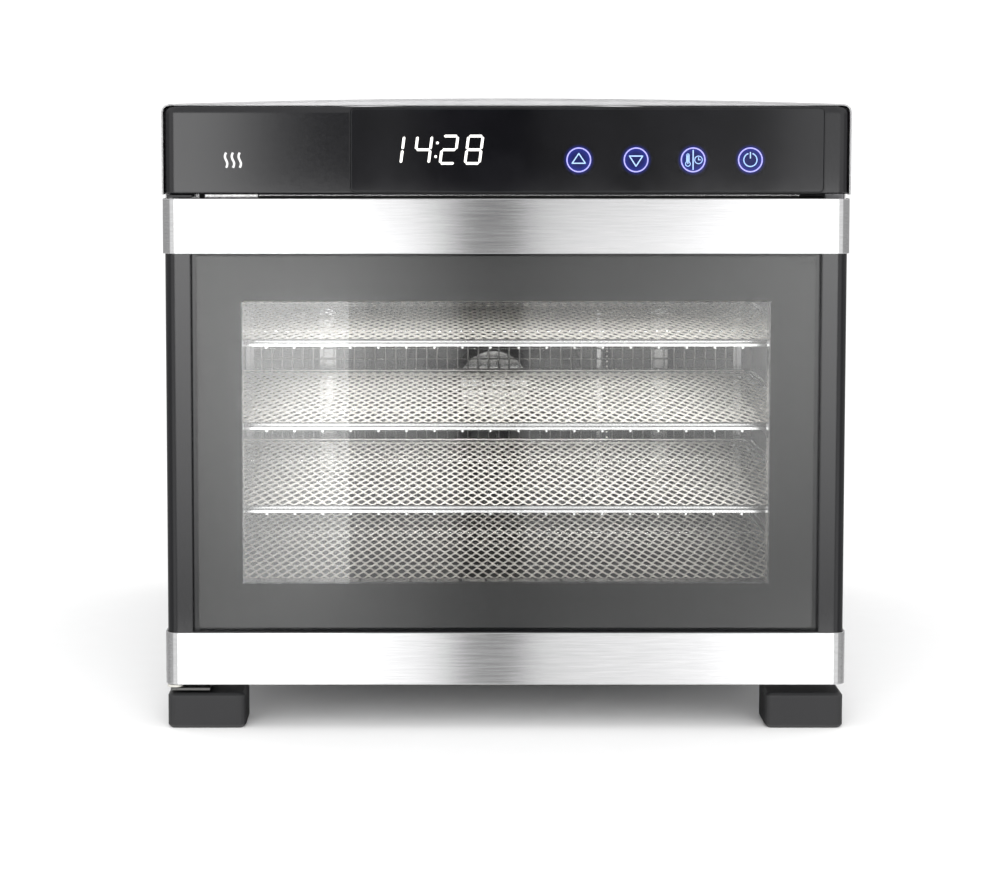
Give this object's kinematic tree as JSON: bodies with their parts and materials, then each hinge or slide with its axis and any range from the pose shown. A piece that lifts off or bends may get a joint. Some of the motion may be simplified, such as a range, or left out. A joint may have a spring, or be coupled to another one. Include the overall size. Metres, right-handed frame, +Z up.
{
  "type": "food dehydrator",
  "caption": "Cabinet food dehydrator with a steel case, a glazed side-hinged door, slide-in mesh trays, a rear fan and a lit touch panel above the door.",
  "frame": {"origin": "on the surface that the feet stand on, under the middle of the case's overall box", "axes": "+Z up, -Y out of the glass door, +X to the right of someone facing the door"},
  "size_m": [0.345, 0.45, 0.3188],
  "materials": {
    "brushed_steel": "fine horizontal brushing, satin",
    "liner_steel": "plain stainless sheet, satin",
    "tray_wire": "polished stainless wire",
    "black_gloss": "gloss black moulding",
    "black_matte": "fine matt texture",
    "foot_plastic": "matt moulding",
    "door_glass": "clear toughened glass with a dark printed border",
    "control_glass": "polished black glass",
    "hinge_steel": "black oxide",
    "bright_steel": "polished",
    "nylon": "natural nylon",
    "silicone": "matt silicone",
    "circuit_board": "solder mask",
    "heater_sheath": "heat-tinted sheath",
    "mineral_wool": "fibrous",
    "blue_case": "moulded",
    "display_light": "lit white segment",
    "key_light": "lit blue symbol"
  },
  "bodies": {
    "cabinet": {"outer_casing": "brushed_steel", "base_pan": "liner_steel", "foot_front_left": "foot_plastic", "foot_front_right": "foot_plastic", "foot_rear_left": "foot_plastic", "foot_rear_right": "foot_plastic", "front_frame": "brushed_steel", "rear_panel": "liner_steel", "exhaust_cover": "black_matte", "cord_gland": "black_matte", "terminal_block": "nylon", "side_liner_left": "liner_steel", "side_liner_right": "liner_steel", "cavity_floor": "liner_steel", "cavity_roof": "liner_steel", "rear_bulkhead": "liner_steel", "air_deflector": "liner_steel", "inlet_ring": "bright_steel", "back_guard": "tray_wire", "heater_element": "heater_sheath", "motor_mount": "liner_steel", "fan_motor": "bright_steel", "thermal_cutout": "black_matte", "temperature_probe": "bright_steel", "drip_tray": "liner_steel", "control_housing": "black_gloss", "control_glass": "control_glass", "display_module": "black_matte", "display_board": "circuit_board", "insulation_pad": "mineral_wool", "board_tray": "nylon", "power_board": "circuit_board", "transformer": "black_matte", "relay": "blue_case", "capacitor": "black_matte", "hinge_plate_upper": "hinge_steel", "hinge_plate_lower": "hinge_steel", "hinge_pin_upper": "bright_steel", "hinge_pin_lower": "bright_steel", "magnet_catch": "black_matte"},
    "door": {"door_frame": "black_gloss", "door_band_upper": "brushed_steel", "door_band_lower": "brushed_steel", "door_glass": "door_glass", "glass_gasket": "silicone", "door_inner_panel": "liner_steel", "strike_plate": "bright_steel", "door_bumper_upper": "silicone", "door_bumper_lower": "silicone", "hinge_bush_upper": "nylon", "hinge_bush_lower": "nylon"},
    "tray_level_1": {"tray_1": "tray_wire"},
    "tray_level_2": {"tray_2": "tray_wire"},
    "tray_level_3": {"tray_3": "tray_wire"},
    "tray_level_4": {"tray_4": "tray_wire"},
    "tray_level_5": {"tray_5": "tray_wire"},
    "fan": {"fan_rotor": "bright_steel", "motor_shaft": "bright_steel"}
  },
  "joints": [
    {"name": "door_hinge", "type": "hinge", "parent": "cabinet", "child": "door", "pos_m": [-0.1678, -0.2203, 0.1458], "axis": [0, 0, -1], "range_deg": [0, 120]},
    {"name": "tray_1_slide", "type": "slide", "parent": "cabinet", "child": "tray_level_1", "axis": [0, -1, 0], "range_m": [0, 0.014]},
    {"name": "tray_2_slide", "type": "slide", "parent": "cabinet", "child": "tray_level_2", "axis": [0, -1, 0], "range_m": [0, 0.014]},
    {"name": "tray_3_slide", "type": "slide", "parent": "cabinet", "child": "tray_level_3", "axis": [0, -1, 0], "range_m": [0, 0.014]},
    {"name": "tray_4_slide", "type": "slide", "parent": "cabinet", "child": "tray_level_4", "axis": [0, -1, 0], "range_m": [0, 0.014]},
    {"name": "tray_5_slide", "type": "slide", "parent": "cabinet", "child": "tray_level_5", "axis": [0, -1, 0], "range_m": [0, 0.014]},
    {"name": "fan_spin", "type": "hinge", "parent": "cabinet", "child": "fan", "pos_m": [0, 0.1435, 0.14], "axis": [0, -1, 0], "continuous": true}
  ]
}
